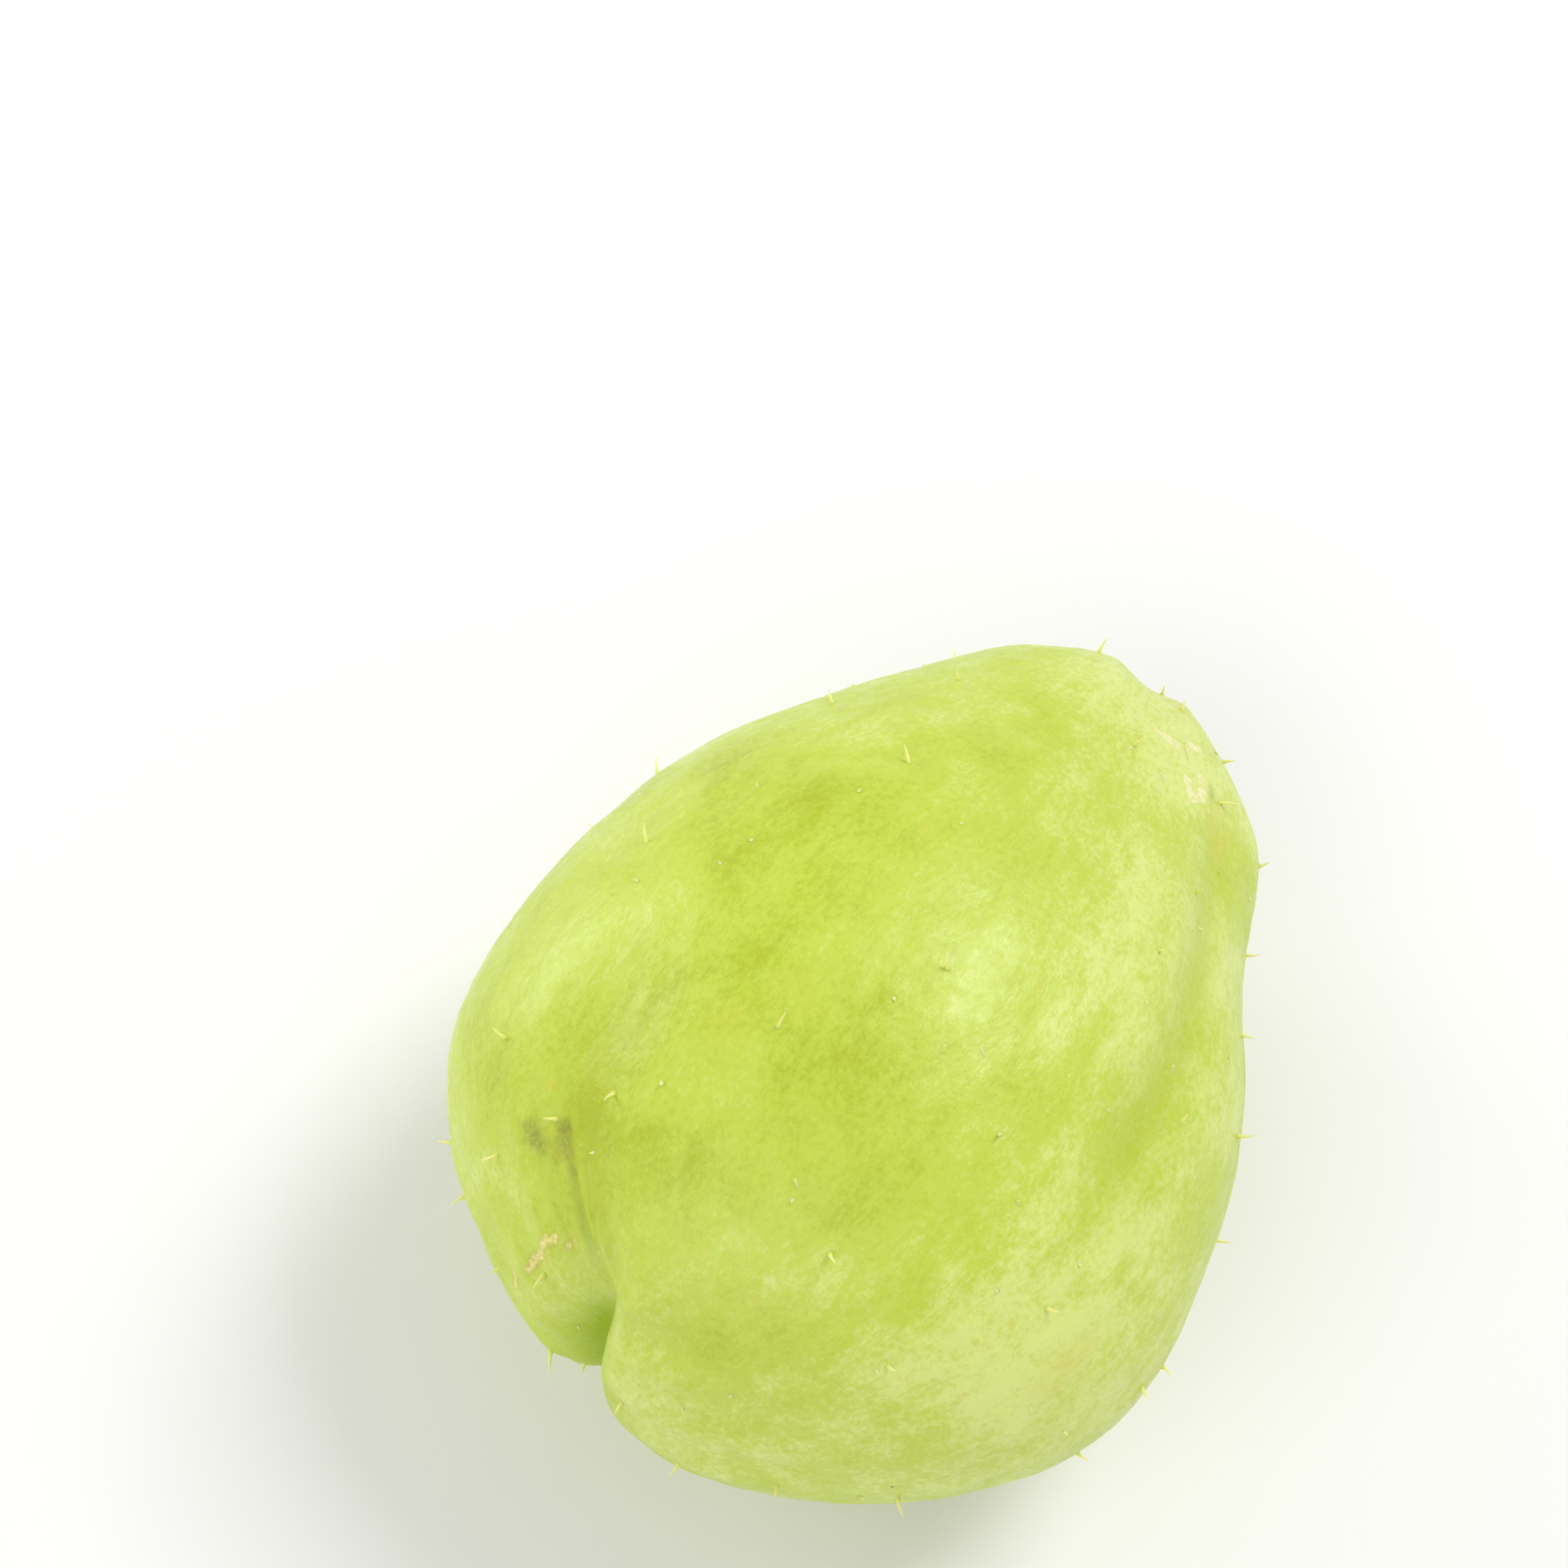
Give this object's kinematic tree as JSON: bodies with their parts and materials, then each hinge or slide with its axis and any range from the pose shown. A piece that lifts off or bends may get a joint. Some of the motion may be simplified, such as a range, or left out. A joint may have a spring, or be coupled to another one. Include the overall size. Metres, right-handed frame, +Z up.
{
  "type": "chayote squash",
  "caption": "Whole chayote squash lying on its side: a pear-shaped, pale green fruit with a creased mouth end, shallow long furrows and soft prickles.",
  "frame": {"origin": "bottom centre of the fruit's bounding box, on the surface it lies on", "axes": "+X from the mouth (blossom) end to the stem end, +Z up, +Y completes the right-handed frame"},
  "size_m": [0.1066, 0.0888, 0.0699],
  "materials": {
    "skin": "satin, waxy pale yellow-green plant skin"
  },
  "bodies": {
    "root": {"chayote": "skin"}
  },
  "joints": []
}
